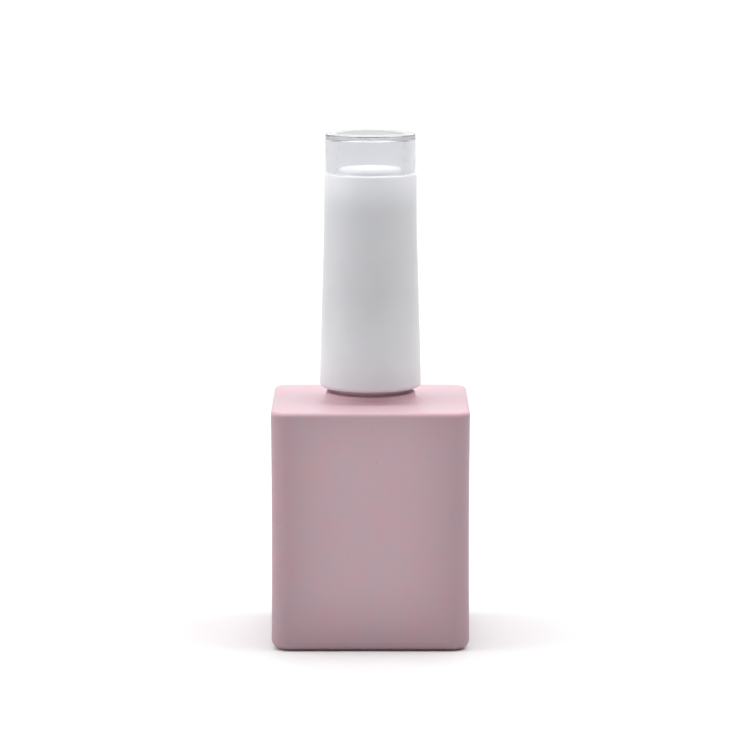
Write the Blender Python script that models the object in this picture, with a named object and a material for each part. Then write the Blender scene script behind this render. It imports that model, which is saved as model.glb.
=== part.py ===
"""Square nail polish bottle with a tall round brush cap.

The bottle is thick glass with a short threaded neck.  A white sleeve with a clear top is fixed on a
threaded inner cap, which holds a sealing liner and the brush.  Two steel balls lie in the chamber.

Origin: centre of the bottle's base, on the surface it stands on.  +Z runs up the neck's axis.
Every length below is in millimetres; the meshes are in metres.
"""
from math import cos, pi, radians, sin, tau

import bmesh
import bpy
from mathutils import Matrix

MM = 0.001

# Clearances between pieces
SEAT_GAP = 0.05              # between faces that rest on each other
THREAD_GAP = 0.08            # between the loaded flanks of the two threads

# Bottle body
BODY_WIDTH = 31.0            # across the flats, both ways
SHOULDER_Z = 37.7
CORNER_RADIUS = 2.8          # upright edges
SHOULDER_EDGE_RADIUS = 0.5
HEEL_RADIUS = 1.6
BEARING_WIDTH = 2.2          # flat rim that the bottle stands on
PUSH_UP = 0.5                # depth of the hollow in the middle of the base
PUSH_UP_SLOPE = 2.5          # width of its sloping side
PUSH_UP_CORNER_RADIUS = 5.0

# Chamber inside the glass
WALL = 3.2
FLOOR_Z = 4.2
ROOF_Z = 34.7
CHAMBER_CORNER_RADIUS = 3.4
CHAMBER_FLOOR_RADIUS = 2.0
CHAMBER_ROOF_RADIUS = 3.0

# Neck: a 13 mm screw finish, twelve threads to the inch
NECK_RADIUS = 5.65
BORE_RADIUS = 3.3
RIM_Z = 48.9
NECK_FILLET = 0.3            # where the wall rises from the collar
RIM_CHAMFER = 0.3
MOUTH_CHAMFER = 0.25
BORE_FLARE = 1.4             # rounding where the bore opens into the chamber
COLLAR_RADIUS = 7.1
COLLAR_TOP_Z = 38.95
COLLAR_EDGE_RADIUS = 0.35
COLLAR_ROOT_FILLET = 0.8     # where it meets the shoulder
THREAD_PITCH = 25.4 / 12.0
THREAD_CREST_RADIUS = 6.38
THREAD_TOP_Z = 47.5
THREAD_TURNS = 1.6
THREAD_BASE_HALF = 0.55      # half the ridge's height where it leaves the wall
THREAD_CREST_HALF = 0.30
THREAD_BURIED = 0.2          # depth of a ridge's foot inside the wall that carries it
THREAD_FADE = 0.1            # turns over which a ridge's end rises

# White sleeve
SLEEVE_BOTTOM_Z = 39.7
SLEEVE_TOP_Z = 73.65
SLEEVE_TOP_RADIUS = 7.29
SLEEVE_BREAK_Z = 66.0        # straight above, flared below
SLEEVE_FLARE = 0.0288        # radius gained per millimetre of drop
SLEEVE_WALL = 0.7
SLEEVE_UPPER_WALL = 1.0      # thicker above the inner cap, which stops against the step
SLEEVE_ROOF = 1.2
SLEEVE_FOOT_RADIUS = 0.7
SLEEVE_BRIM_RADIUS = 0.3
SLEEVE_ROOF_CHAMFER = 0.5    # inside, under the roof
BOSS_RADIUS = 5.2            # raised disc that centres the clear top
BOSS_HEIGHT = 0.85
BOSS_EDGE_RADIUS = 0.7

# Clear top
CLEAR_RADIUS = 7.13
CLEAR_TOP_Z = 79.9
CLEAR_HOLLOW_RADIUS = 5.33
CLEAR_ROOF = 0.85
CLEAR_EDGE_RADIUS = 0.45
CLEAR_HOLLOW_EDGE = 0.3
CLEAR_FOOT_CHAMFER = 0.15

# Inner cap
INNER_BOTTOM_Z = 40.2
INNER_CEILING_Z = 49.9
INNER_TOP_Z = 51.0
INNER_BORE_RADIUS = 6.48
INNER_THREAD_CREST_RADIUS = 5.95
INNER_THREAD_BASE_HALF = 0.45
INNER_THREAD_CREST_HALF = 0.22
INNER_THREAD_TURNS = 1.5
INNER_LEAD_IN = 0.2          # chamfer round the open end
RIB_COUNT = 24
RIB_HEIGHT = 0.08
RIB_OUTLINE = ((0.00, 0), (0.50, 0), (0.62, 1), (0.88, 1))   # share of a rib's pitch, raised or not

# Sealing liner
LINER_RADIUS = 6.2
LINER_HOLE_RADIUS = 1.75

# Brush
SHANK_RADIUS = 1.64
SHANK_HOLE_RADIUS = 1.72
HEAD_RADIUS = 2.05
HEAD_TOP_RADIUS = 1.45
HEAD_TOP_Z = 52.3
HEAD_BAND = 0.35             # straight part under its cone
FLANGE_RADIUS = 2.9
FLANGE_THICKNESS = 0.8
FLANGE_CONE = 0.4            # height of the cone from the flange to the rod
ROD_RADIUS = 1.55
ROD_TIP_RADIUS = 1.3
ROD_TAPER_END_Z = 26.0
ROD_END_Z = 21.5
ROD_END_CHAMFER = 0.15
SOCKET_RADIUS = 0.95
SOCKET_DEPTH = 3.6
TUFT_TIP_Z = 8.8
TUFT_ROOT_RADIUS = 0.85
TUFT_RADIUS = 1.5
TUFT_ROOT_CHAMFER = 0.1
TUFT_DOME_SHARE = 0.25       # part of its free length that the round tip takes
TUFT_DOME_ANGLES = (25, 50, 72)
STAPLE_LENGTH = 1.7
STAPLE_THICKNESS = 0.22
STAPLE_HEIGHT = 1.4
STAPLE_Z = 24.0              # centre
STAPLE_BEVEL = 0.04

# Mixing balls
BALL_RADIUS = 2.0
BALL_PLACES = ((7.6, -4.0), (-7.6, 5.0))

# Facets
CORNER_STEPS = 6
EDGE_STEPS = 4
ROUND_STEPS = 48
SLEEVE_STEPS = 56
ROD_STEPS = 36
TUFT_STEPS = 24
TUFT_SPREAD_STEPS = 5
BALL_STEPS = 20

SHARP_ANGLE = 32             # degrees; flatter edges are shaded smooth
CUT_OVERRUN = 0.6            # how far a tool reaches into or past the solid that it changes
MERGE_DISTANCE = 1e-6        # points nearer each other than this become one


def clear_scene():
    for old in list(bpy.data.objects):
        bpy.data.objects.remove(old, do_unlink=True)


def finish(name, colour, roughness, metallic=0.0, alpha=1.0):
    """A Principled material; glass-like where alpha is below 1."""
    made = bpy.data.materials.new(name)
    made.use_nodes = True
    shader = made.node_tree.nodes["Principled BSDF"]
    shader.inputs["Base Color"].default_value = (*colour, 1.0)
    shader.inputs["Roughness"].default_value = roughness
    shader.inputs["Metallic"].default_value = metallic
    shader.inputs["Transmission Weight"].default_value = 1.0 - alpha
    return made


def add_piece(name, mesh_maker, surface):
    """Turn a bmesh, given in millimetres, into a named object in metres."""
    bmesh.ops.scale(mesh_maker, vec=(MM, MM, MM), verts=mesh_maker.verts)
    bmesh.ops.recalc_face_normals(mesh_maker, faces=mesh_maker.faces)
    mesh = bpy.data.meshes.new(name)
    mesh_maker.to_mesh(mesh)
    mesh_maker.free()
    mesh.shade_smooth()
    mesh.set_sharp_from_angle(angle=radians(SHARP_ANGLE))
    piece = bpy.data.objects.new(name, mesh)
    bpy.context.scene.collection.objects.link(piece)
    if surface:
        mesh.materials.append(surface)
    return piece


def add_tool(name, mesh_maker):
    """A solid that only adds to or cuts another piece."""
    tool = add_piece(name, mesh_maker, None)
    tool.hide_render = True
    tool.display_type = "WIRE"
    return tool


def combine(piece, tool, operation):
    step = piece.modifiers.new(tool.name, "BOOLEAN")
    step.operation = operation
    step.solver = "EXACT"
    step.object = tool


def turned(profile, steps=ROUND_STEPS, closed=False):
    """Spin (radius, height) points about Z; a closed profile makes a ring, an open one ends on the axis."""
    solid = bmesh.new()
    points = [solid.verts.new((radius, 0.0, height)) for radius, height in profile]
    edges = [solid.edges.new(pair) for pair in zip(points, points[1:])]
    if closed:
        edges.append(solid.edges.new((points[-1], points[0])))
    bmesh.ops.spin(solid, geom=points + edges, cent=(0, 0, 0), axis=(0, 0, 1), angle=tau,
                   steps=steps, use_merge=True, use_duplicate=False)
    bmesh.ops.remove_doubles(solid, verts=solid.verts, dist=MERGE_DISTANCE)
    return solid


def arc(centre, radius, start_degrees, end_degrees, steps):
    """Points of a round stretch of a profile, ends included."""
    points = []
    for index in range(steps + 1):
        angle = radians(start_degrees + (end_degrees - start_degrees) * index / steps)
        points.append((centre[0] + radius * cos(angle), centre[1] + radius * sin(angle)))
    return points


def rounded_square(half, radius, height):
    """One level ring of a square with round corners."""
    ring = []
    for corner in range(4):
        middle = pi / 4 + corner * pi / 2
        reach = (half - radius) * 2 ** 0.5
        for index in range(CORNER_STEPS + 1):
            angle = middle - pi / 4 + (pi / 2) * index / CORNER_STEPS
            ring.append((reach * cos(middle) + radius * cos(angle),
                         reach * sin(middle) + radius * sin(angle), height))
    return ring


def lofted(rings):
    """Join level rings of equal point count into a closed solid."""
    solid = bmesh.new()
    levels = [[solid.verts.new(point) for point in ring] for ring in rings]
    for lower, upper in zip(levels, levels[1:]):
        for index in range(len(lower)):
            after = (index + 1) % len(lower)
            solid.faces.new((lower[index], lower[after], upper[after], upper[index]))
    solid.faces.new(reversed(levels[0]))
    solid.faces.new(levels[-1])
    return solid


def square_prism(half, corner, bottom, bottom_round, top, top_round):
    """Rings of an upright square block with its lower and upper edges rounded."""
    rings = []
    for inset, height in arc((bottom_round, bottom_round), bottom_round, 270, 180, EDGE_STEPS):
        rings.append(rounded_square(half - inset, corner - inset, bottom + height))
    for inset, height in arc((top_round, -top_round), top_round, 180, 90, EDGE_STEPS):
        rings.append(rounded_square(half - inset, corner - inset, top + height))
    return rings


def thread_ridge(wall, crest, base_half, crest_half, turns, top):
    """A right-hand helical ridge on a round wall, sunk into it and fading out at both ends."""
    outward = 1.0 if crest > wall else -1.0
    root = wall - outward * THREAD_BURIED
    low_crest = wall - outward * THREAD_BURIED / 2
    count = round(turns * ROUND_STEPS)
    sections = []
    for index in range(count + 1):
        turn = index / ROUND_STEPS
        rise = min(1.0, turn / THREAD_FADE, (turns - turn) / THREAD_FADE)
        reach = low_crest + (crest - low_crest) * max(rise, 0.0)
        angle = tau * turn
        height = top - (turns - turn) * THREAD_PITCH
        outline = ((root, -base_half), (reach, -crest_half), (reach, crest_half), (root, base_half))
        sections.append([(radius * cos(angle), radius * sin(angle), height + lift)
                         for radius, lift in outline])
    return lofted(sections)


def sleeve_radius(height):
    """Outside radius of the white sleeve: straight at the top, then an even flare down to the foot."""
    return SLEEVE_TOP_RADIUS + SLEEVE_FLARE * max(0.0, SLEEVE_BREAK_Z - height)


def make_bottle(glass):
    half = BODY_WIDTH / 2
    stand = half - HEEL_RADIUS - BEARING_WIDTH
    rings = [rounded_square(stand - PUSH_UP_SLOPE, PUSH_UP_CORNER_RADIUS - 1.0, PUSH_UP),
             rounded_square(stand, PUSH_UP_CORNER_RADIUS, 0.0)]
    rings += square_prism(half, CORNER_RADIUS, 0.0, HEEL_RADIUS, SHOULDER_Z, SHOULDER_EDGE_RADIUS)
    bottle = add_piece("bottle", lofted(rings), glass)

    root = COLLAR_RADIUS + COLLAR_ROOT_FILLET
    edge = COLLAR_EDGE_RADIUS
    neck = [(0.0, SHOULDER_Z - CUT_OVERRUN), (root, SHOULDER_Z - CUT_OVERRUN)]
    neck += arc((root, SHOULDER_Z + COLLAR_ROOT_FILLET), COLLAR_ROOT_FILLET, 285, 180, EDGE_STEPS)
    neck += arc((COLLAR_RADIUS - edge, COLLAR_TOP_Z - edge), edge, 0, 90, EDGE_STEPS)
    neck += arc((NECK_RADIUS + NECK_FILLET, COLLAR_TOP_Z + NECK_FILLET), NECK_FILLET, 270, 180, EDGE_STEPS)
    neck += [(NECK_RADIUS, RIM_Z - RIM_CHAMFER), (NECK_RADIUS - RIM_CHAMFER, RIM_Z), (0.0, RIM_Z)]
    combine(bottle, add_tool("neck_blank", turned(neck)), "UNION")

    ridge = thread_ridge(NECK_RADIUS, THREAD_CREST_RADIUS, THREAD_BASE_HALF, THREAD_CREST_HALF,
                         THREAD_TURNS, THREAD_TOP_Z)
    combine(bottle, add_tool("neck_thread", ridge), "UNION")

    chamber = square_prism(half - WALL, CHAMBER_CORNER_RADIUS, FLOOR_Z, CHAMBER_FLOOR_RADIUS,
                           ROOF_Z, CHAMBER_ROOF_RADIUS)
    combine(bottle, add_tool("chamber_cutter", lofted(chamber)), "DIFFERENCE")

    flared = BORE_RADIUS + BORE_FLARE
    mouth = BORE_RADIUS + MOUTH_CHAMFER
    bore = [(0.0, ROOF_Z - CUT_OVERRUN), (flared, ROOF_Z - CUT_OVERRUN)]
    bore += arc((flared, ROOF_Z + BORE_FLARE), BORE_FLARE, 270, 180, EDGE_STEPS)
    bore += [(BORE_RADIUS, RIM_Z - MOUTH_CHAMFER), (mouth, RIM_Z), (mouth, RIM_Z + CUT_OVERRUN),
             (0.0, RIM_Z + CUT_OVERRUN)]
    combine(bottle, add_tool("bore_cutter", turned(bore)), "DIFFERENCE")


def make_outer_cap(white):
    foot = SLEEVE_FOOT_RADIUS
    brim = SLEEVE_BRIM_RADIUS
    foot_radius = sleeve_radius(SLEEVE_BOTTOM_Z)
    step_z = INNER_TOP_Z + SEAT_GAP
    roof_z = SLEEVE_TOP_Z - SLEEVE_ROOF
    outside = [(foot_radius - foot, SLEEVE_BOTTOM_Z)]
    outside += arc((foot_radius - foot, SLEEVE_BOTTOM_Z + foot), foot, 285, 360, EDGE_STEPS)
    outside += [(SLEEVE_TOP_RADIUS, SLEEVE_BREAK_Z)]
    outside += arc((SLEEVE_TOP_RADIUS - brim, SLEEVE_TOP_Z - brim), brim, 0, 90, EDGE_STEPS)
    upper = SLEEVE_TOP_RADIUS - SLEEVE_UPPER_WALL
    inside = [(0.0, roof_z), (upper - SLEEVE_ROOF_CHAMFER, roof_z), (upper, roof_z - SLEEVE_ROOF_CHAMFER),
              (upper, SLEEVE_BREAK_Z),
              (sleeve_radius(step_z) - SLEEVE_UPPER_WALL, step_z),
              (sleeve_radius(step_z) - SLEEVE_WALL, step_z),
              (foot_radius - SLEEVE_WALL, SLEEVE_BOTTOM_Z)]
    flat = BOSS_RADIUS - BOSS_EDGE_RADIUS
    boss_z = SLEEVE_TOP_Z + BOSS_HEIGHT
    boss = [(0.0, boss_z)]
    boss += arc((flat, boss_z - BOSS_EDGE_RADIUS), BOSS_EDGE_RADIUS, 90, 0, EDGE_STEPS)
    boss += [(BOSS_RADIUS, SLEEVE_TOP_Z)]
    profile = boss + outside[::-1] + inside[::-1]
    add_piece("outer_cap", turned(profile, SLEEVE_STEPS), white)


def make_clear_top(acrylic):
    seat_z = SLEEVE_TOP_Z + SEAT_GAP
    roof_z = CLEAR_TOP_Z - CLEAR_ROOF
    edge = CLEAR_EDGE_RADIUS
    inner = CLEAR_HOLLOW_EDGE
    foot = CLEAR_FOOT_CHAMFER
    profile = [(0.0, CLEAR_TOP_Z)]
    profile += arc((CLEAR_RADIUS - edge, CLEAR_TOP_Z - edge), edge, 90, 0, EDGE_STEPS)
    profile += [(CLEAR_RADIUS, seat_z + foot), (CLEAR_RADIUS - foot, seat_z), (CLEAR_HOLLOW_RADIUS, seat_z)]
    profile += arc((CLEAR_HOLLOW_RADIUS - inner, roof_z - inner), inner, 0, 90, EDGE_STEPS)
    profile += [(0.0, roof_z)]
    add_piece("clear_top", turned(profile, SLEEVE_STEPS), acrylic)


def ribbed_ring(radius, height):
    """One level ring of the inner cap's outside: low land, then a rib, all the way round."""
    ring = []
    for rib in range(RIB_COUNT):
        for share, raised in RIB_OUTLINE:
            angle = tau * (rib + share) / RIB_COUNT
            reach = radius + raised * RIB_HEIGHT
            ring.append((reach * cos(angle), reach * sin(angle), height))
    return ring


def make_inner_cap(polypropylene):
    clearance = SLEEVE_WALL + SEAT_GAP + RIB_HEIGHT
    rings = [ribbed_ring(sleeve_radius(height) - clearance, height)
             for height in (INNER_BOTTOM_Z, INNER_TOP_Z)]
    inner_cap = add_piece("inner_cap", lofted(rings), polypropylene)

    opening = INNER_BORE_RADIUS + INNER_LEAD_IN
    hollow = [(0.0, INNER_BOTTOM_Z - CUT_OVERRUN), (opening, INNER_BOTTOM_Z - CUT_OVERRUN),
              (opening, INNER_BOTTOM_Z), (INNER_BORE_RADIUS, INNER_BOTTOM_Z + INNER_LEAD_IN),
              (INNER_BORE_RADIUS, INNER_CEILING_Z), (SHANK_HOLE_RADIUS, INNER_CEILING_Z),
              (SHANK_HOLE_RADIUS, INNER_TOP_Z + CUT_OVERRUN), (0.0, INNER_TOP_Z + CUT_OVERRUN)]
    combine(inner_cap, add_tool("inner_cap_cutter", turned(hollow)), "DIFFERENCE")

    # The two ridges touch flank to flank just above the middle of their overlap.
    meeting = (THREAD_CREST_RADIUS + INNER_THREAD_CREST_RADIUS) / 2
    neck_share = (THREAD_CREST_RADIUS - meeting) / (THREAD_CREST_RADIUS - NECK_RADIUS)
    neck_half = THREAD_CREST_HALF + neck_share * (THREAD_BASE_HALF - THREAD_CREST_HALF)
    cap_share = (meeting - INNER_THREAD_CREST_RADIUS) / (INNER_BORE_RADIUS - INNER_THREAD_CREST_RADIUS)
    cap_half = INNER_THREAD_CREST_HALF + cap_share * (INNER_THREAD_BASE_HALF - INNER_THREAD_CREST_HALF)
    whole_turns = (THREAD_TURNS - INNER_THREAD_TURNS) * THREAD_PITCH
    top = THREAD_TOP_Z - whole_turns - neck_half - cap_half - THREAD_GAP
    ridge = thread_ridge(INNER_BORE_RADIUS, INNER_THREAD_CREST_RADIUS, INNER_THREAD_BASE_HALF,
                         INNER_THREAD_CREST_HALF, INNER_THREAD_TURNS, top)
    combine(inner_cap, add_tool("inner_cap_thread", ridge), "UNION")


def make_seal_liner(foam):
    bottom = RIM_Z + SEAT_GAP
    top = INNER_CEILING_Z - SEAT_GAP
    profile = [(LINER_HOLE_RADIUS, bottom), (LINER_RADIUS, bottom),
               (LINER_RADIUS, top), (LINER_HOLE_RADIUS, top)]
    add_piece("seal_liner", turned(profile, closed=True), foam)


def make_brush_rod(polyethylene):
    head_z = INNER_TOP_Z + SEAT_GAP
    flange_top = RIM_Z
    flange_bottom = flange_top - FLANGE_THICKNESS
    socket_z = ROD_END_Z + SOCKET_DEPTH
    profile = [(0.0, HEAD_TOP_Z), (HEAD_TOP_RADIUS, HEAD_TOP_Z), (HEAD_RADIUS, head_z + HEAD_BAND),
               (HEAD_RADIUS, head_z), (SHANK_RADIUS, head_z), (SHANK_RADIUS, flange_top),
               (FLANGE_RADIUS, flange_top), (FLANGE_RADIUS, flange_bottom),
               (ROD_RADIUS, flange_bottom - FLANGE_CONE), (ROD_TIP_RADIUS, ROD_TAPER_END_Z),
               (ROD_TIP_RADIUS, ROD_END_Z + ROD_END_CHAMFER), (ROD_TIP_RADIUS - ROD_END_CHAMFER, ROD_END_Z),
               (SOCKET_RADIUS, ROD_END_Z), (SOCKET_RADIUS, socket_z), (0.0, socket_z)]
    add_piece("brush_rod", turned(profile, ROD_STEPS), polyethylene)


def make_bristle_tuft(nylon):
    top = ROD_END_Z + SOCKET_DEPTH - SEAT_GAP
    length = ROD_END_Z - TUFT_TIP_Z
    profile = [(0.0, top), (TUFT_ROOT_RADIUS - TUFT_ROOT_CHAMFER, top),
               (TUFT_ROOT_RADIUS, top - TUFT_ROOT_CHAMFER), (TUFT_ROOT_RADIUS, ROD_END_Z)]
    for index in range(1, TUFT_SPREAD_STEPS + 1):
        share = index / TUFT_SPREAD_STEPS
        radius = TUFT_ROOT_RADIUS + (TUFT_RADIUS - TUFT_ROOT_RADIUS) * sin(share * pi / 2)
        profile.append((radius, ROD_END_Z - length * (1 - TUFT_DOME_SHARE) * share))
    dome = length * TUFT_DOME_SHARE
    for angle in map(radians, TUFT_DOME_ANGLES):
        profile.append((TUFT_RADIUS * cos(angle), TUFT_TIP_Z + dome * (1 - sin(angle))))
    profile.append((0.0, TUFT_TIP_Z))
    tuft = add_piece("bristle_tuft", turned(profile, TUFT_STEPS), nylon)

    slot = bmesh.new()
    size = (STAPLE_THICKNESS + 2 * SEAT_GAP, 4 * TUFT_ROOT_RADIUS, STAPLE_HEIGHT + 2 * SEAT_GAP)
    place = Matrix.Translation((0.0, 0.0, STAPLE_Z)) @ Matrix.Diagonal((*size, 1.0))
    bmesh.ops.create_cube(slot, size=1.0, matrix=place)
    combine(tuft, add_tool("staple_slot", slot), "DIFFERENCE")


def make_bristle_staple(wire):
    staple = bmesh.new()
    size = (STAPLE_THICKNESS, STAPLE_LENGTH, STAPLE_HEIGHT)
    place = Matrix.Translation((0.0, 0.0, STAPLE_Z)) @ Matrix.Diagonal((*size, 1.0))
    bmesh.ops.create_cube(staple, size=1.0, matrix=place)
    bmesh.ops.bevel(staple, geom=list(staple.edges), offset=STAPLE_BEVEL, segments=1, affect="EDGES")
    add_piece("bristle_staple", staple, wire)


def make_mixing_balls(steel):
    for number, (x, y) in enumerate(BALL_PLACES, start=1):
        profile = arc((0.0, 0.0), BALL_RADIUS, 90, -90, BALL_STEPS // 2)
        ball = add_piece(f"mixing_ball_{number}", turned(profile, BALL_STEPS), steel)
        ball.location = (x * MM, y * MM, (FLOOR_Z + SEAT_GAP + BALL_RADIUS) * MM)


def main():
    clear_scene()
    make_bottle(finish("pink_coated_glass", (0.68, 0.45, 0.50), 0.46))
    make_outer_cap(finish("white_plastic", (0.82, 0.82, 0.82), 0.38))
    make_clear_top(finish("clear_acrylic", (0.95, 0.96, 0.96), 0.03, alpha=0.1))
    make_inner_cap(finish("natural_polypropylene", (0.78, 0.78, 0.76), 0.45))
    make_seal_liner(finish("liner_foam", (0.85, 0.85, 0.83), 0.8))
    make_brush_rod(finish("white_polyethylene", (0.80, 0.80, 0.79), 0.4))
    make_bristle_tuft(finish("black_nylon", (0.02, 0.02, 0.02), 0.35))
    make_bristle_staple(finish("brass_wire", (0.70, 0.55, 0.28), 0.3, metallic=1.0))
    make_mixing_balls(finish("stainless_steel", (0.60, 0.60, 0.60), 0.15, metallic=1.0))


main()
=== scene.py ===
"""Looks of the square nail polish bottle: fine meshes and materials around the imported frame.

Shapes are drawn in millimetres and stored in metres.  Heights and radii that the frame holds are read
from it; the rest are named here.  The front of the bottle faces -Y, towards the camera.
"""
import random
from math import cos, floor, pi, radians, sin, sqrt, tau

import bmesh
import bpy
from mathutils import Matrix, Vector


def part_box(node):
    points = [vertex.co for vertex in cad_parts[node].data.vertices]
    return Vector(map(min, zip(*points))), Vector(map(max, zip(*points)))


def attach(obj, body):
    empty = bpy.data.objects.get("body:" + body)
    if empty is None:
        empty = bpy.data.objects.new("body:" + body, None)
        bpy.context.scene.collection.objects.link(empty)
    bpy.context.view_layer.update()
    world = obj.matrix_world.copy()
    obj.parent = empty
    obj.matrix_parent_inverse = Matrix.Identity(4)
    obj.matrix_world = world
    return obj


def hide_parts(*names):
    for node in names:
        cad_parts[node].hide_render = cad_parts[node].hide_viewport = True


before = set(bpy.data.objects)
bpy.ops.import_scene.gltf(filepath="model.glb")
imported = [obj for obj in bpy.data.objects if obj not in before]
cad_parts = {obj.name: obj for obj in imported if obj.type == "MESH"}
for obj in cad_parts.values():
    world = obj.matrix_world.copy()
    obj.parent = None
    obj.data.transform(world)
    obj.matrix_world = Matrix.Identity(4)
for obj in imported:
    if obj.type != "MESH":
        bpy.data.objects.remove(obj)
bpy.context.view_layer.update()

MM = 0.001


def extent(node):
    """A CAD node's lowest and highest corner, in millimetres."""
    low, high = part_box(node)
    return low / MM, high / MM


BOTTLE_HIGH = extent("bottle")[1]
SLEEVE_LOW, SLEEVE_HIGH = extent("outer_cap")
CLEAR_HIGH = extent("clear_top")[1]
INNER_HIGH = extent("inner_cap")[1]
LINER_LOW, LINER_HIGH = extent("seal_liner")
ROD_LOW, ROD_HIGH = extent("brush_rod")
TUFT_LOW = extent("bristle_tuft")[0]

# Glass body
HALF = BOTTLE_HIGH.x         # half its width
SHOULDER_Z = 37.7
CORNER = 2.8                 # upright edges
SHOULDER_EDGE = 0.5
HEEL = 1.6
SIDE_SINK = 0.1              # how far the sides are drawn in at mid height
BEARING = 2.2                # width of the flat rim that the bottle stands on
PUSH_UP = 0.5                # height of the hollow in the base
PUSH_UP_SLOPE = 2.5          # width of the hollow's sloping side
PUSH_UP_CORNER = 4.0         # at the slope's top; 1 mm more at its foot
BASE_MIDDLE = ((3.0, 1.6), (6.0, 3.0))   # half width and corner of two rings on the hollow's flat

# Chamber inside the glass
WALL = 3.2
FLOOR_Z = 4.2
ROOF_Z = 34.7
CHAMBER_CORNER = 3.4
CHAMBER_ROOF_EDGE = 3.0
CHAMBER_FLOOR_EDGE = 2.0
CHAMBER_MIDDLE = (5.0, 1.4)  # half width and corner of a ring on its floor

# Neck
RIM_Z = BOTTLE_HIGH.z
NECK = 5.65
BORE = 3.3
BORE_FLARE = 1.4             # where the bore opens into the chamber
COLLAR = 7.1
COLLAR_TOP_Z = 38.95
COLLAR_COVE = 0.8            # where the collar meets the shoulder
COLLAR_EDGE = 0.35
NECK_COVE = 0.3              # where the wall rises from the collar
LIP = 0.35
MOUTH = 0.3
PITCH = 25.4 / 12
THREAD = {"crest": 6.38, "base": 0.55, "flat": 0.28, "turns": 1.6, "top": 47.5, "fade": 0.1}
THREADED_Z = (43.2, 48.2)
COAT_EDGE_Z = 41.6           # the sprayed coat ends here, under the cap
COAT_EDGE_WIDTH = 0.5

# Sleeve
SLEEVE_BOTTOM_Z = SLEEVE_LOW.z
SLEEVE_TOP_Z = 73.65
SLEEVE_TOP = 7.29
SLEEVE_BREAK_Z = 66.0        # straight above, flared below
SLEEVE_BREAK_SOFTNESS = 2.5
SLEEVE_FLARE = 0.0288        # radius gained per millimetre of drop
SLEEVE_FOOT = 0.7
SLEEVE_BRIM = 0.3
SLEEVE_LIP = 0.15            # rounding inside the foot
SLEEVE_WALL = 0.7
SLEEVE_UPPER_WALL = 1.0      # above the inner cap, which stops against the step
SLEEVE_ROOF = 1.2
SLEEVE_ROOF_EDGE = 0.5
BOSS = 5.2                   # raised disc that centres the clear top
BOSS_TOP_Z = SLEEVE_HIGH.z
BOSS_EDGE = 0.7
SEAT_GAP = 0.05              # between pieces that rest on each other

# Clear top
CLEAR = 7.13
CLEAR_HOLLOW = 5.33
CLEAR_ROOF = 0.85
CLEAR_EDGE = 0.45
CLEAR_HOLLOW_EDGE = 0.3
CLEAR_FOOT = 0.06
GLUE_DEPTH = 0.03            # its foot is sunk this far in the sleeve, which joins them optically

# Liner and brush
LINER_HOLE = 1.75
LINER_EDGE = 0.12
SHANK = 1.64
SNAP_HEAD = 2.05
SNAP_HEAD_TOP = 1.45
SNAP_HEAD_EDGE = 0.2
FLANGE_EDGE = 0.1
FLANGE_THICKNESS = 0.8
FLANGE_COVE = 0.5
FLANGE_COVE_DROP = 1.55      # from the neck's rim to the cove's centre
ROD = 1.55
ROD_TIP = 1.3
ROD_TAPER_Z = (47.0, 26.0)   # where the taper starts and ends, going down
ROD_STRAIGHT_Z = 24.0
ROD_END_Z = ROD_LOW.z
ROD_END_EDGE = 0.12
SOCKET = 0.93
SOCKET_EDGE = 0.04
SOCKET_TOP_Z = 25.1
FILAMENTS = 240
FILAMENT = 0.045
FILAMENT_ROOT_Z = 23.0       # inside the rod's socket
TUFT_ROOT = 0.76
TUFT_SPREAD = 0.85           # how much wider the tuft gets, as a share of its root
TUFT_TUCK = 0.12             # how much of that it loses at the tip
TUFT_DOME = 1.6              # how much shorter the outer filaments are
TUFT_RAGGEDNESS = 0.35
TUFT_LEAN = 0.05
TUFT_TIP_GAP = 0.05          # between the longest filament and the CAD tuft's tip

# Fineness
RING = 128                   # points round each ring
BALL_FINENESS = 5
SMOOTH_ANGLE = radians(40)


# ---------------------------------------------------------------- meshes

def circle(radius, height):
    """A level ring of points, or one point if the radius is zero."""
    if radius == 0:
        return [(0.0, 0.0, height)]
    return [(radius * cos(tau * i / RING), radius * sin(tau * i / RING), height) for i in range(RING)]


def square(half, corner, height):
    """A level square with round corners, its points in step with those of circle()."""
    straight, bend = RING // 16, RING // 8
    side = half - corner
    points = []
    for turn in range(4):
        c, s = cos(turn * pi / 2), sin(turn * pi / 2)
        outline = [(half, side * i / straight) for i in range(straight)]
        outline += arc((side, side), corner, 0, 90, bend)
        outline += [(side * (1 - i / straight), half) for i in range(1, straight)]
        points += [(x * c - y * s, x * s + y * c, height) for x, y in outline]
    return points


def arc(centre, radius, start, end, steps):
    """Points of a round stretch of an outline, from one angle in degrees to the other."""
    points = []
    for step in range(steps + 1):
        angle = radians(start + (end - start) * step / steps)
        points.append((centre[0] + radius * cos(angle), centre[1] + radius * sin(angle)))
    return points


def circles(outline):
    """A ring for each (radius, height) of an outline."""
    return [circle(radius, height) for radius, height in outline]


def square_bend(half, corner, centre, start, end, steps):
    """Square rings round a bend.  Its centre is (inset, height), and the inset is also its radius."""
    return [square(half - inset, corner - inset, height)
            for inset, height in arc(centre, centre[0], start, end, steps)]


def between(first, last, steps):
    """Rings evenly spaced between two rings, both left out."""
    rings = []
    for step in range(1, steps):
        share = step / steps
        rings.append([tuple(a + (b - a) * share for a, b in zip(p, q)) for p, q in zip(first, last)])
    return rings


def ramp(start, end, value):
    """A smooth rise from 0 at the start to 1 at the end."""
    share = min(1.0, max(0.0, (value - start) / (end - start)))
    return share * share * (3 - 2 * share)


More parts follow.
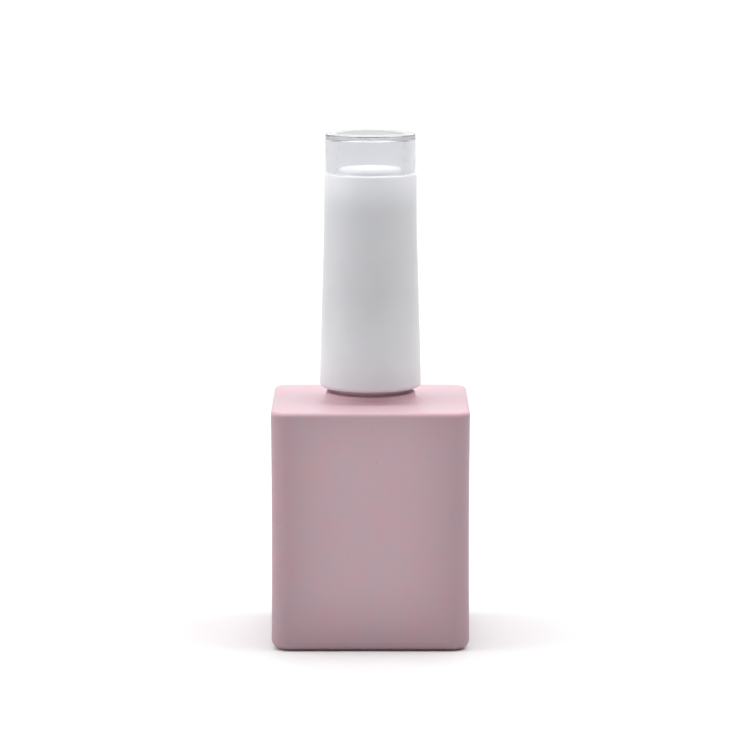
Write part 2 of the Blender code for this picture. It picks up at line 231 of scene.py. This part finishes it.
def skin(rings, closed=False):
    """A surface through rings of equal count, where a ring of one point is a pole.

    Two poles in a row stay apart.  Closed joins the last ring to the first.
    """
    mesher = bmesh.new()
    levels = [[mesher.verts.new(point) for point in ring] for ring in rings]
    if closed:
        levels.append(levels[0])
    for below, above in zip(levels, levels[1:]):
        if len(below) == len(above) == 1:
            continue
        for i in range(RING):
            j = (i + 1) % RING
            if len(below) == 1:
                mesher.faces.new((below[0], above[j], above[i]))
            elif len(above) == 1:
                mesher.faces.new((below[i], below[j], above[0]))
            else:
                mesher.faces.new((below[i], below[j], above[j], above[i]))
    return mesher


def new_piece(name, mesher, surface, body, node):
    """A finished piece that rides on a body and stands for a CAD node."""
    bmesh.ops.scale(mesher, vec=(MM, MM, MM), verts=mesher.verts)
    bmesh.ops.recalc_face_normals(mesher, faces=mesher.faces)
    mesh = bpy.data.meshes.new(name)
    mesher.to_mesh(mesh)
    mesher.free()
    mesh.shade_smooth()
    mesh.set_sharp_from_angle(angle=SMOOTH_ANGLE)
    mesh.materials.append(surface)
    piece = bpy.data.objects.new(name, mesh)
    bpy.context.scene.collection.objects.link(piece)
    even = piece.modifiers.new("even_faces", "WEIGHTED_NORMAL")
    even.keep_sharp = True
    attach(piece, body)
    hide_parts(node)


# ---------------------------------------------------------------- bottle

def body_rings():
    """From the middle of the base over the heel and up the sides to the shoulder's edge."""
    slope_steps, side_steps = 6, 24
    side_fullness = 0.8
    slope_top = HALF - HEEL - BEARING - PUSH_UP_SLOPE
    rings = [circle(0, PUSH_UP)]
    rings += [square(half, corner, PUSH_UP) for half, corner in BASE_MIDDLE]
    for step in range(slope_steps + 1):
        share = step / slope_steps
        height = PUSH_UP * (1 - ramp(0, 1, share))
        rings.append(square(slope_top + PUSH_UP_SLOPE * share, PUSH_UP_CORNER + share, height))
    rings += square_bend(HALF, CORNER, (HEEL, HEEL), 270, 180, 8)
    edge_z = SHOULDER_Z - SHOULDER_EDGE
    for step in range(1, side_steps):
        share = step / side_steps
        sink = SIDE_SINK * sin(pi * share) ** side_fullness
        rings.append(square(HALF - sink, CORNER, HEEL + (edge_z - HEEL) * share))
    rings += square_bend(HALF, CORNER, (SHOULDER_EDGE, edge_z), 180, 90, 6)
    return rings


def ridge_height(angle, height):
    """How far the right-hand thread stands off the neck's wall at a place on that wall."""
    turns, fade = THREAD["turns"], THREAD["fade"]
    best = 0.0
    for lap in range(floor(turns) + 1):
        turn = angle / tau + lap
        if turn <= turns:
            middle = THREAD["top"] - (turns - turn) * PITCH
            rise = 1 - ramp(THREAD["flat"], THREAD["base"], abs(height - middle))
            best = max(best, rise * ramp(0, fade, turn) * ramp(0, fade, turns - turn))
    return (THREAD["crest"] - NECK) * best


def threaded_rings():
    """Rings of the neck's wall that carry the thread."""
    low, high = THREADED_Z
    steps = 56
    rings = []
    for step in range(steps + 1):
        height = low + (high - low) * step / steps
        ring = []
        for i in range(RING):
            angle = tau * i / RING
            radius = NECK + ridge_height(angle, height)
            ring.append((radius * cos(angle), radius * sin(angle), height))
        rings.append(ring)
    return rings


def neck_rings():
    """From the shoulder up the collar and the threaded wall, over the rim and down the bore."""
    cove_z = SHOULDER_Z + COLLAR_COVE
    rings = circles(arc((COLLAR + COLLAR_COVE, cove_z), COLLAR_COVE, 270, 180, 7))
    rings += circles(arc((COLLAR - COLLAR_EDGE, COLLAR_TOP_Z - COLLAR_EDGE), COLLAR_EDGE, 0, 90, 7))
    rings += circles(arc((NECK + NECK_COVE, COLLAR_TOP_Z + NECK_COVE), NECK_COVE, 270, 180, 5))
    rings += threaded_rings()
    rings += circles(arc((NECK - LIP, RIM_Z - LIP), LIP, 0, 90, 6))
    rings += circles(arc((BORE + MOUTH, RIM_Z - MOUTH), MOUTH, 90, 180, 5))
    rings += circles(arc((BORE + BORE_FLARE, ROOF_Z + BORE_FLARE), BORE_FLARE, 180, 270, 8))
    return rings


def chamber_rings():
    """From the chamber's roof down its walls to the middle of its floor."""
    roof, ground = CHAMBER_ROOF_EDGE, CHAMBER_FLOOR_EDGE
    rings = square_bend(HALF - WALL, CHAMBER_CORNER, (roof, ROOF_Z - roof), 90, 180, 8)
    rings += square_bend(HALF - WALL, CHAMBER_CORNER, (ground, FLOOR_Z + ground), 180, 270, 8)
    return rings + [square(*CHAMBER_MIDDLE, FLOOR_Z), circle(0, FLOOR_Z)]


def make_bottle():
    """The glass in one skin, outside and inside."""
    body, neck, chamber = body_rings(), neck_rings(), chamber_rings()
    shoulder = between(body[-1], neck[0], 5)
    roof = between(neck[-1], chamber[0], 3)
    glass = skin(body + shoulder + neck + roof + chamber)
    new_piece("coated_bottle", glass, coated_glass(), "bottle", "bottle")


# ---------------------------------------------------------------- cap

def sleeve_radius(height):
    """Straight at the top, then an even flare, with a soft change between them."""
    drop = SLEEVE_BREAK_Z - height
    return SLEEVE_TOP + SLEEVE_FLARE * (drop + sqrt(drop * drop + SLEEVE_BREAK_SOFTNESS ** 2)) / 2


def sleeve_outside():
    """The sleeve's outline from its foot up to the axis, over the raised disc."""
    flare_steps = 24
    ridge, middle = 0.3, 2.5
    foot_z = SLEEVE_BOTTOM_Z + SLEEVE_FOOT
    brim_z = SLEEVE_TOP_Z - SLEEVE_BRIM
    outline = arc((sleeve_radius(foot_z) - SLEEVE_FOOT, foot_z), SLEEVE_FOOT, 270, 360, 8)
    for step in range(1, flare_steps):
        height = foot_z + (brim_z - foot_z) * step / flare_steps
        outline.append((sleeve_radius(height), height))
    outline += arc((sleeve_radius(SLEEVE_TOP_Z) - SLEEVE_BRIM, brim_z), SLEEVE_BRIM, 0, 90, 8)
    outline += [(BOSS + ridge, SLEEVE_TOP_Z), (BOSS, SLEEVE_TOP_Z)]
    outline += arc((BOSS - BOSS_EDGE, BOSS_TOP_Z - BOSS_EDGE), BOSS_EDGE, 0, 90, 12)
    return outline + [(middle, BOSS_TOP_Z), (0, BOSS_TOP_Z)]


def sleeve_inside():
    """The sleeve's inner outline, from the axis under its roof down to its foot."""
    middle, ridge = 2.5, 0.1
    roof_z = SLEEVE_TOP_Z - SLEEVE_ROOF
    step_z = INNER_HIGH.z + SEAT_GAP
    upper = sleeve_radius(step_z) - SLEEVE_UPPER_WALL
    lower = sleeve_radius(step_z) - SLEEVE_WALL
    foot = sleeve_radius(SLEEVE_BOTTOM_Z + SLEEVE_FOOT) - SLEEVE_WALL
    corner = sleeve_radius(SLEEVE_TOP_Z) - SLEEVE_UPPER_WALL - SLEEVE_ROOF_EDGE
    outline = [(0, roof_z), (middle, roof_z)]
    outline += arc((corner, roof_z - SLEEVE_ROOF_EDGE), SLEEVE_ROOF_EDGE, 90, 0, 4)
    outline += [(SLEEVE_TOP - SLEEVE_UPPER_WALL, SLEEVE_BREAK_Z), (upper, step_z + ridge), (upper, step_z)]
    outline += [(lower, step_z), (lower, step_z - ridge)]
    return outline + arc((foot + SLEEVE_LIP, SLEEVE_BOTTOM_Z + SLEEVE_LIP), SLEEVE_LIP, 180, 270, 4)


def make_sleeve():
    cup = skin(circles(sleeve_outside() + sleeve_inside()), closed=True)
    new_piece("white_sleeve", cup, white_plastic(), "cap", "outer_cap")


def make_clear_top():
    """A thick cup, upside down over the raised disc."""
    seat = SLEEVE_TOP_Z - GLUE_DEPTH
    top = CLEAR_HIGH.z
    roof = top - CLEAR_ROOF
    foot_z = seat + CLEAR_FOOT
    middle, top_ring, roof_ring = 2.0, 4.5, 4.0
    foot_ring, low_ring, high_ring, hollow_ring = 0.6, 2.0, 4.0, 2.5
    ceiling_edge = CLEAR_HOLLOW_EDGE
    outline = [(CLEAR_HOLLOW + CLEAR_FOOT, seat), (CLEAR - foot_ring, seat)]
    outline += arc((CLEAR - CLEAR_FOOT, foot_z), CLEAR_FOOT, 270, 360, 4)
    outline += [(CLEAR, seat + low_ring), (CLEAR, seat + high_ring)]
    outline += arc((CLEAR - CLEAR_EDGE, top - CLEAR_EDGE), CLEAR_EDGE, 0, 90, 10)
    outline += [(top_ring, top), (middle, top), (0, top)]
    outline += [(0, roof), (middle, roof), (roof_ring, roof)]
    outline += arc((CLEAR_HOLLOW - ceiling_edge, roof - ceiling_edge), ceiling_edge, 90, 0, 8)
    outline += [(CLEAR_HOLLOW, seat + hollow_ring), (CLEAR_HOLLOW, foot_z)]
    outline += arc((CLEAR_HOLLOW + CLEAR_FOOT, foot_z), CLEAR_FOOT, 180, 270, 4)[1:-1]
    cup = skin(circles(outline), closed=True)
    new_piece("clear_acrylic_top", cup, clear_acrylic(), "cap", "clear_top")


def make_liner():
    """A washer with a rounded rim."""
    low, high = LINER_LOW.z, LINER_HIGH.z
    rim = LINER_HIGH.x - LINER_EDGE
    middle = 4.0
    outline = arc((rim, low + LINER_EDGE), LINER_EDGE, 270, 360, 4)
    outline += arc((rim, high - LINER_EDGE), LINER_EDGE, 0, 90, 4)
    outline += [(middle, high), (LINER_HOLE, high), (LINER_HOLE, low), (middle, low)]
    washer = skin(circles(outline), closed=True)
    new_piece("foam_liner", washer, liner_foam(), "liner", "seal_liner")


def rod_head():
    """The rod's outline from the top of its snap head down to its shank and over its flange."""
    crown, bulge, under_head, over_flange = 0.8, 0.3, 0.3, 0.2
    head_z = INNER_HIGH.z + SEAT_GAP
    edge = SNAP_HEAD_EDGE
    flange = ROD_HIGH.x - FLANGE_EDGE
    outline = [(0, ROD_HIGH.z), (crown, ROD_HIGH.z)]
    outline += arc((SNAP_HEAD_TOP - edge, ROD_HIGH.z - edge), edge, 90, 30, 4)
    outline += arc((SNAP_HEAD - edge, head_z + bulge), edge, 30, -60, 4)
    outline += [(SNAP_HEAD - edge, head_z), (SHANK, head_z), (SHANK, head_z - under_head)]
    outline += [(SHANK, RIM_Z + over_flange), (SHANK, RIM_Z)]
    outline += arc((flange, RIM_Z - FLANGE_EDGE), FLANGE_EDGE, 90, 0, 3)
    outline += arc((flange, RIM_Z - FLANGE_THICKNESS + FLANGE_EDGE), FLANGE_EDGE, 0, -80, 3)
    return outline + arc((ROD + FLANGE_COVE, RIM_Z - FLANGE_COVE_DROP), FLANGE_COVE, 100, 180, 6)


def rod_shaft():
    """The rod's tapered outline down to its end, then up into the socket that holds the bristles."""
    taper_steps = 12
    rim = 0.1
    start_z, end_z = ROD_TAPER_Z
    outline = []
    for step in range(1, taper_steps):
        share = step / taper_steps
        outline.append((ROD + (ROD_TIP - ROD) * share, start_z + (end_z - start_z) * share))
    outline.append((ROD_TIP, ROD_STRAIGHT_Z))
    outline += arc((ROD_TIP - ROD_END_EDGE, ROD_END_Z + ROD_END_EDGE), ROD_END_EDGE, 0, -90, 4)
    outline += [(SOCKET + SOCKET_EDGE, ROD_END_Z), (SOCKET, ROD_END_Z + rim), (SOCKET, FILAMENT_ROOT_Z)]
    return outline + [(SOCKET, SOCKET_TOP_Z), (0, SOCKET_TOP_Z)]


def make_rod():
    stem = skin(circles(rod_head() + rod_shaft()))
    new_piece("brush_stem", stem, stem_plastic(), "cap", "brush_rod")


def filament_path(root, lean, end_z):
    """A bristle's middle line: straight out of the socket, a gentle belly, then in a little at the tip."""
    steps = 9
    spread_start, spread_end, tuck_start = 0.12, 0.75, 0.7
    points = []
    for step in range(steps + 1):
        share = step / steps
        out = TUFT_SPREAD * ramp(spread_start, spread_end, share)
        tuck = TUFT_TUCK * ramp(tuck_start, 1.0, share)
        place = root * (1.0 + out - tuck) + lean * share ** 2
        place.z = FILAMENT_ROOT_Z + (end_z - FILAMENT_ROOT_Z) * share
        points.append(place)
    return points


def add_filament(mesher, path):
    """A thin tube along a path, narrower at its tip."""
    sides, tip = 5, 0.55
    rings = []
    for middle in path:
        size = FILAMENT * (tip if middle is path[-1] else 1.0)
        offsets = [Vector((size * cos(tau * k / sides), size * sin(tau * k / sides), 0))
                   for k in range(sides)]
        rings.append([mesher.verts.new(middle + offset) for offset in offsets])
    for above, below in zip(rings, rings[1:]):
        for k in range(sides):
            j = (k + 1) % sides
            mesher.faces.new((above[k], above[j], below[j], below[k]))
    mesher.faces.new(rings[0])
    mesher.faces.new(rings[-1])


def make_bristles():
    """Filaments laid out in an even spiral, each with its own lean and length."""
    draw = random.Random(7)
    golden_turn = pi * (3 - sqrt(5))
    mesher = bmesh.new()
    for index in range(FILAMENTS):
        reach = TUFT_ROOT * sqrt((index + 0.5) / FILAMENTS)
        turn = index * golden_turn
        root = Vector((reach * cos(turn), reach * sin(turn), 0))
        lean = Vector((draw.uniform(-TUFT_LEAN, TUFT_LEAN), draw.uniform(-TUFT_LEAN, TUFT_LEAN), 0))
        dome = TUFT_DOME * (reach / TUFT_ROOT) ** 2
        end_z = TUFT_LOW.z + TUFT_TIP_GAP + dome + draw.uniform(0.0, TUFT_RAGGEDNESS)
        add_filament(mesher, filament_path(root, lean, end_z))
    new_piece("bristles", mesher, nylon(), "cap", "bristle_tuft")


def make_balls():
    steel = ball_steel()
    for number in (1, 2):
        node = f"mixing_ball_{number}"
        low, high = extent(node)
        mesher = bmesh.new()
        bmesh.ops.create_icosphere(mesher, subdivisions=BALL_FINENESS, radius=(high.z - low.z) / 2)
        bmesh.ops.translate(mesher, vec=(low + high) / 2, verts=mesher.verts)
        new_piece(f"steel_ball_{number}", mesher, steel, f"ball_{number}", node)


def dress_kept_nodes():
    """The inner cap and the staple keep their CAD shape and get their own materials."""
    for node, surface in (("inner_cap", natural_plastic()), ("bristle_staple", staple_wire())):
        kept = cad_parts[node]
        kept.data.materials.clear()
        kept.data.materials.append(surface)


# ---------------------------------------------------------------- materials

NOISE_LOW, NOISE_HIGH = 0.3, 0.7     # nearly all noise stays between these


class Surface:
    """A material being wired: its tree, its Principled shader, and coordinates in millimetres."""

    def __init__(self, name):
        self.material = bpy.data.materials.new(name)
        self.material.use_nodes = True
        self.tree = self.material.node_tree
        self.shader = self.tree.nodes["Principled BSDF"]
        place = self.node("ShaderNodeTexCoord")
        scaled = self.node("ShaderNodeVectorMath", operation="SCALE")
        scaled.inputs["Scale"].default_value = 1 / MM
        self.join(place.outputs["Object"], scaled.inputs[0])
        self.where = scaled.outputs[0]

    def node(self, kind, **settings):
        made = self.tree.nodes.new(kind)
        for key, value in settings.items():
            setattr(made, key, value)
        return made

    def join(self, source, target):
        self.tree.links.new(source, target)

    def feed(self, socket, value):
        """Gives a socket another socket's value, a number, or a colour of three numbers."""
        if isinstance(value, bpy.types.NodeSocket):
            self.join(value, socket)
        else:
            socket.default_value = (*value, 1.0) if isinstance(value, tuple) else value

    def set(self, **values):
        """Constant sockets of the shader, named with underscores."""
        for key, value in values.items():
            self.shader.inputs[key.replace("_", " ")].default_value = value

    def height(self):
        split = self.node("ShaderNodeSeparateXYZ")
        self.join(self.where, split.inputs[0])
        return split.outputs["Z"]

    def scaled(self, factors):
        """The coordinates with each axis scaled."""
        made = self.node("ShaderNodeVectorMath", operation="MULTIPLY")
        made.inputs[1].default_value = factors
        self.join(self.where, made.inputs[0])
        return made.outputs[0]

    def distance(self, place):
        """How far a place is from the origin."""
        made = self.node("ShaderNodeVectorMath", operation="LENGTH")
        self.join(place, made.inputs[0])
        return made.outputs["Value"]

    def noise(self, per_mm, detail=3.0, roughness=0.5, factors=None):
        """Noise from 0 to 1 whose features are about 1 / per_mm millimetres across."""
        made = self.node("ShaderNodeTexNoise")
        made.inputs["Scale"].default_value = per_mm
        made.inputs["Detail"].default_value = detail
        made.inputs["Roughness"].default_value = roughness
        self.join(self.scaled(factors) if factors else self.where, made.inputs["Vector"])
        return made.outputs["Fac"]

    def span(self, value, low, high, to_low=0.0, to_high=1.0):
        """Maps a value's range to another, with a smooth start and end."""
        made = self.node("ShaderNodeMapRange", interpolation_type="SMOOTHSTEP")
        for socket, number in zip(made.inputs[1:5], (low, high, to_low, to_high)):
            socket.default_value = number
        self.join(value, made.inputs[0])
        return made.outputs[0]

    def mix(self, share, first, second, blend="MIX"):
        """Blends two colours; each is a colour or a socket."""
        made = self.node("ShaderNodeMix", data_type="RGBA", blend_type=blend)
        for socket, value in ((made.inputs[0], share), (made.inputs[6], first), (made.inputs[7], second)):
            self.feed(socket, value)
        return made.outputs[2]

    def math(self, operation, *values, clamp=False):
        made = self.node("ShaderNodeMath", operation=operation, use_clamp=clamp)
        for socket, value in zip(made.inputs, values):
            self.feed(socket, value)
        return made.outputs[0]

    def bump(self, height, distance_mm, strength=1.0, under=None):
        made = self.node("ShaderNodeBump")
        made.inputs["Distance"].default_value = distance_mm * MM
        made.inputs["Strength"].default_value = strength
        self.join(height, made.inputs["Height"])
        if under is not None:
            self.join(under, made.inputs["Normal"])
        return made.outputs["Normal"]

    def colour(self, source):
        self.join(source, self.shader.inputs["Base Color"])

    def two_tone(self, pattern, first, second, low=NOISE_LOW, high=NOISE_HIGH):
        """One colour where the pattern is low, another where it is high."""
        return self.mix(self.span(pattern, low, high), first, second)

    def gloss(self, pattern, smooth, coarse, low=NOISE_LOW):
        """Roughness that follows a pattern."""
        self.join(self.span(pattern, low, NOISE_HIGH, smooth, coarse), self.shader.inputs["Roughness"])

    def relief(self, normal):
        self.join(normal, self.shader.inputs["Normal"])

    def swap(self, share, shader):
        """Shows another shader instead of the Principled one where the share is 1."""
        blend = self.node("ShaderNodeMixShader")
        self.join(share, blend.inputs[0])
        self.join(self.shader.outputs[0], blend.inputs[1])
        self.join(shader.outputs[0], blend.inputs[2])
        self.join(blend.outputs[0], self.tree.nodes["Material Output"].inputs["Surface"])


# The sprayed coat.  Painted shade makes the four sides darker than the shoulder, and darker still at the
# borders of their flat faces.
PINK = (0.763, 0.509, 0.568)
PINK_MAUVE = (0.720, 0.527, 0.595)
PINK_WARM = (0.797, 0.500, 0.541)
SIDE_PAINTED_SHADE = (0.765, 0.765, 0.765)
SIDE_PAINTED_SHADE_START = (0.1, 0.8)         # below the shoulder
BORDER_PAINTED_SHADE = (0.73, 0.69, 0.70)
BORDER_REACH = 13.0
TOP_BORDER_LEAD = 4.0        # the border under the shoulder starts this far into its reach


def inwards(s, inset):
    """0 at a face's border and 1 at the border's reach, rising ever more gently."""
    left = s.math("SUBTRACT", 1.0, s.math("DIVIDE", inset, BORDER_REACH, clamp=True))
    return s.math("SUBTRACT", 1.0, s.math("POWER", left, 2.0))


def painted_side_shade(s):
    """Masks from 0 to 1: painted shade on the body's sides, and more painted shade on the borders of their
    flat faces.
    """
    size = s.node("ShaderNodeVectorMath", operation="ABSOLUTE")
    s.join(s.where, size.inputs[0])
    split = s.node("ShaderNodeSeparateXYZ")
    s.join(size.outputs[0], split.inputs[0])
    across = s.math("MINIMUM", split.outputs["X"], split.outputs["Y"])
    height = split.outputs["Z"]
    from_side = s.math("SUBTRACT", HALF, across)
    from_top = s.math("SUBTRACT", SHOULDER_Z, height)
    from_ends = s.math("MINIMUM", s.math("ADD", from_top, TOP_BORDER_LEAD), height)
    border_shade = s.math("SUBTRACT", 1.0, s.math("MULTIPLY", inwards(s, from_side), inwards(s, from_ends)))
    sides = s.span(from_top, *SIDE_PAINTED_SHADE_START)
    return sides, s.math("MULTIPLY", border_shade, sides)


def coated_glass():
    """Satin pink spray on the outside of the glass, which is clear above the coat's edge."""
    grain_shade, speck_shade = (0.45, 0.33, 0.36), (0.20, 0.13, 0.15)
    specks_per_mm, speck_core, speck_edge, speck_strength = 0.42, 0.015, 0.05, 0.55
    raggedness = 0.5
    s = Surface("coated_glass")
    s.set(IOR=1.5)
    mottle = s.span(s.noise(0.22, 4.0, 0.6), 0.35, 0.65)
    warm = s.span(s.noise(0.5, 5.0, 0.65), 0.45, 0.75, 0.0, 0.8)
    colour = s.mix(warm, s.mix(mottle, PINK, PINK_MAUVE), PINK_WARM)
    colour = s.mix(s.span(s.noise(7.0, 2.0), 0.2, 0.8, 0.0, 0.1), colour, grain_shade)
    cells = s.node("ShaderNodeTexVoronoi", feature="F1")
    cells.inputs["Scale"].default_value = specks_per_mm
    s.join(s.where, cells.inputs["Vector"])
    speck = s.span(cells.outputs["Distance"], speck_core, speck_edge, speck_strength, 0.0)
    colour = s.mix(speck, colour, speck_shade)
    sides, border_shade = painted_side_shade(s)
    # painted shade: the sides darker than the shoulder
    colour = s.mix(sides, colour, SIDE_PAINTED_SHADE, "MULTIPLY")
    # painted shade: the borders of the flat faces darker still
    s.colour(s.mix(border_shade, colour, BORDER_PAINTED_SHADE, "MULTIPLY"))
    s.gloss(s.noise(1.3, 3.0), 0.42, 0.52)
    peel = s.bump(s.noise(2.6, 2.0), 0.02, 0.35)
    s.relief(s.bump(s.noise(0.14, 1.0), 0.25, 0.25, under=peel))

    glass = s.node("ShaderNodeBsdfPrincipled")
    glass.inputs["Transmission Weight"].default_value = 1.0
    glass.inputs["IOR"].default_value = 1.52
    glass.inputs["Roughness"].default_value = 0.03
    glass.inputs["Base Color"].default_value = (0.93, 0.97, 0.95, 1.0)
    ragged_height = s.math("MULTIPLY_ADD", s.noise(1.5, 3.0), raggedness, s.height())
    s.swap(s.span(ragged_height, COAT_EDGE_Z, COAT_EDGE_Z + COAT_EDGE_WIDTH), glass)
    return s.material


def white_plastic():
    """Satin white, greyed by painted shade between the inner cap and the roof, and whitened by painted
    light on top.
    """
    pearl, shade = (0.775, 0.78, 0.81), (0.75, 0.755, 0.785)
    painted_shade_grey, painted_light_white = (0.82, 0.82, 0.82), (0.97, 0.97, 0.98)
    painted_shade_starts, painted_shade_ends = (42.0, 56.0), (67.5, 72.5)
    s = Surface("white_plastic")
    s.set(IOR=1.49, Subsurface_Weight=0.6, Subsurface_Scale=0.0022, Subsurface_Radius=(1.0, 0.96, 0.92))
    height = s.height()
    # painted shade: the stretch between the inner cap and the roof is greyed
    empty = s.math("MULTIPLY", s.span(height, *painted_shade_starts), s.span(height, *painted_shade_ends, 1.0, 0.0))
    white = s.mix(empty, s.two_tone(s.noise(0.12, 2.0), pearl, shade), painted_shade_grey, "MULTIPLY")
    # painted light: the top under the clear acrylic is painted whiter
    s.colour(s.mix(s.span(height, SLEEVE_TOP_Z - SLEEVE_BRIM, SLEEVE_TOP_Z), white, painted_light_white))
    s.gloss(s.noise(0.9, 3.0), 0.33, 0.40)
    s.relief(s.bump(s.noise(5.0, 2.0), 0.006, 0.3))
    return s.material


def clear_acrylic():
    """Clear, with painted shade tinting its outer wall grey; lamps shine through it on to the sleeve."""
    clear, painted_wall_shade, painted_wall_shade_deep = (0.97, 0.975, 0.985), (0.63, 0.64, 0.67), (0.60, 0.61, 0.64)
    s = Surface("clear_acrylic")
    s.set(IOR=1.49, Transmission_Weight=1.0, Roughness=0.0)
    radius = s.distance(s.scaled((1, 1, 0)))
    wall = s.span(radius, CLEAR_HOLLOW + 0.6, CLEAR - 0.3)
    # painted shade: the outer wall tinted grey
    s.colour(s.mix(wall, clear, s.two_tone(s.noise(0.3, 2.0), painted_wall_shade, painted_wall_shade_deep)))
    shine = s.node("ShaderNodeBsdfTransparent")
    shine.inputs["Color"].default_value = (0.96, 0.96, 0.965, 1.0)
    s.swap(s.node("ShaderNodeLightPath").outputs["Is Shadow Ray"], shine)
    return s.material


def natural_plastic():
    """Milky, uncoloured polypropylene."""
    s = Surface("natural_polypropylene")
    s.set(Roughness=0.45, Subsurface_Weight=0.3, Subsurface_Scale=0.0008, IOR=1.49)
    s.colour(s.two_tone(s.noise(0.6, 3.0), (0.78, 0.78, 0.75), (0.72, 0.72, 0.70)))
    s.relief(s.bump(s.noise(4.0, 2.0), 0.008, 0.4))
    return s.material


def liner_foam():
    """Fine closed cells."""
    s = Surface("liner_foam")
    s.set(Roughness=0.85)
    cell = s.noise(9.0, 2.0)
    s.colour(s.two_tone(cell, (0.86, 0.85, 0.82), (0.76, 0.75, 0.72)))
    s.relief(s.bump(cell, 0.03, 0.6))
    return s.material


def stem_plastic():
    """White polyethylene with faint lines along the rod."""
    s = Surface("stem_plastic")
    s.set(Roughness=0.38, Subsurface_Weight=0.2, Subsurface_Scale=0.0006, IOR=1.51)
    drawn = s.noise(2.0, 3.0, 0.5, (1.0, 1.0, 0.06))
    s.colour(s.two_tone(drawn, (0.83, 0.83, 0.82), (0.78, 0.78, 0.77)))
    s.relief(s.bump(drawn, 0.01, 0.4))
    return s.material


def nylon():
    """Black filaments, some of them a little lighter."""
    s = Surface("nylon_filament")
    s.set(IOR=1.53)
    strand = s.noise(9.0, 1.0, 0.5, (1.0, 1.0, 0.03))
    s.colour(s.two_tone(strand, (0.020, 0.018, 0.018), (0.075, 0.068, 0.066), 0.35, 0.65))
    s.gloss(s.noise(3.0, 2.0), 0.25, 0.42)
    return s.material


def staple_wire():
    """Drawn brass."""
    s = Surface("staple_wire")
    s.set(Metallic=1.0, Roughness=0.3)
    drawn = s.noise(14.0, 3.0, 0.6, (1.0, 0.1, 1.0))
    s.colour(s.two_tone(drawn, (0.72, 0.57, 0.30), (0.60, 0.45, 0.22)))
    s.relief(s.bump(drawn, 0.004, 0.4))
    return s.material


def ball_steel():
    """Polished, with scuffs from rolling on glass."""
    s = Surface("ball_steel")
    s.set(Metallic=1.0)
    scuff = s.noise(3.0, 5.0, 0.7)
    s.colour(s.two_tone(scuff, (0.62, 0.62, 0.63), (0.54, 0.54, 0.56)))
    s.gloss(scuff, 0.08, 0.22, low=0.35)
    return s.material


def floor_paint():
    """Near white, and lit from within far off, so that it meets the horizon without a dark band."""
    glow_start, glow_full, glow = 1200.0, 3600.0, 0.62
    s = Surface("floor_paint")
    s.set(Roughness=0.7)
    s.colour(s.two_tone(s.noise(0.01, 2.0), (0.94, 0.94, 0.94), (0.93, 0.93, 0.93)))
    shine = s.span(s.distance(s.where), glow_start, glow_full, 0.0, glow)
    s.join(shine, s.shader.inputs["Emission Strength"])
    return s.material


# ---------------------------------------------------------------- stage, lights and camera, in metres

TARGET = Vector((0.0, 0.0, 0.040))
SOFTBOXES = {                # place, width, height, power
    "overhead": ((0.0, 0.0, 2.4), 2.7, 2.7, 44.4),
    "left_top": ((-1.5, 0.0, 1.95), 1.5, 1.8, 14.9),
    "right_top": ((1.5, 0.0, 1.95), 1.5, 1.8, 18.5),
    "left": ((-2.1, 0.0, 0.75), 1.5, 1.5, 9.4),
    "back": ((0.0, 2.4, 1.26), 2.7, 1.2, 18.6),
}
AMBIENT = (0.16, 0.16, 0.16)
HORIZON = (0.81, 0.81, 0.81)
HORIZON_BAND = (0.05, 0.24)  # sine of the elevation where the white starts and stops fading


def make_floor():
    reach, height = 6.0, -0.00002
    signs = ((-1, -1), (1, -1), (1, 1), (-1, 1))
    corners = [(x * reach, y * reach, height) for x, y in signs]
    mesh = bpy.data.meshes.new("floor")
    mesh.from_pydata(corners, [], [(0, 1, 2, 3)])
    mesh.materials.append(floor_paint())
    ground = bpy.data.objects.new("floor", mesh)
    bpy.context.scene.collection.objects.link(ground)


def make_softbox(name, place, width, height, power):
    """A rectangular lamp that faces the bottle and isn't seen itself."""
    lamp = bpy.data.lights.new(name, "AREA")
    lamp.shape = "RECTANGLE"
    lamp.size = width
    lamp.size_y = height
    lamp.energy = power
    holder = bpy.data.objects.new(name, lamp)
    holder.location = place
    holder.rotation_euler = (TARGET - Vector(place)).to_track_quat("-Z", "Y").to_euler()
    holder.visible_camera = False
    bpy.context.scene.collection.objects.link(holder)


def make_lights():
    """Dim surroundings, white only near the horizon, with softboxes above, beside and behind."""
    world = bpy.data.worlds.new("studio")
    bpy.context.scene.world = world
    world.use_nodes = True
    tree = world.node_tree
    direction = tree.nodes.new("ShaderNodeTexCoord")
    split = tree.nodes.new("ShaderNodeSeparateXYZ")
    level = tree.nodes.new("ShaderNodeMath")
    level.operation = "ABSOLUTE"
    fade = tree.nodes.new("ShaderNodeMapRange")
    fade.interpolation_type = "SMOOTHSTEP"
    fade.inputs["From Min"].default_value, fade.inputs["From Max"].default_value = HORIZON_BAND
    blend = tree.nodes.new("ShaderNodeMix")
    blend.data_type = "RGBA"
    blend.inputs[6].default_value = (*HORIZON, 1.0)
    blend.inputs[7].default_value = (*AMBIENT, 1.0)
    tree.links.new(direction.outputs["Generated"], split.inputs[0])
    tree.links.new(split.outputs["Z"], level.inputs[0])
    tree.links.new(level.outputs[0], fade.inputs["Value"])
    tree.links.new(fade.outputs[0], blend.inputs[0])
    tree.links.new(blend.outputs[2], tree.nodes["Background"].inputs["Color"])
    for name, settings in SOFTBOXES.items():
        make_softbox(name, *settings)


def make_camera():
    """Looks along +Y and a little down, from far off, as the photograph does."""
    distance, elevation = 0.600, radians(8.4)
    data = bpy.data.cameras.new("camera")
    data.lens = 181.5
    data.sensor_width = 36.0
    data.shift_x = 0.0061
    data.shift_y = 0.0120
    camera = bpy.data.objects.new("camera", data)
    back = Vector((0.0, -cos(elevation), sin(elevation)))
    camera.location = TARGET + back * distance
    camera.rotation_euler = (-back).to_track_quat("-Z", "Y").to_euler()
    bpy.context.scene.collection.objects.link(camera)
    bpy.context.scene.camera = camera


make_camera()
make_floor()
make_lights()
make_bottle()
make_sleeve()
make_clear_top()
make_liner()
make_rod()
make_bristles()
make_balls()
dress_kept_nodes()
bpy.context.scene.view_settings.view_transform = "Standard"
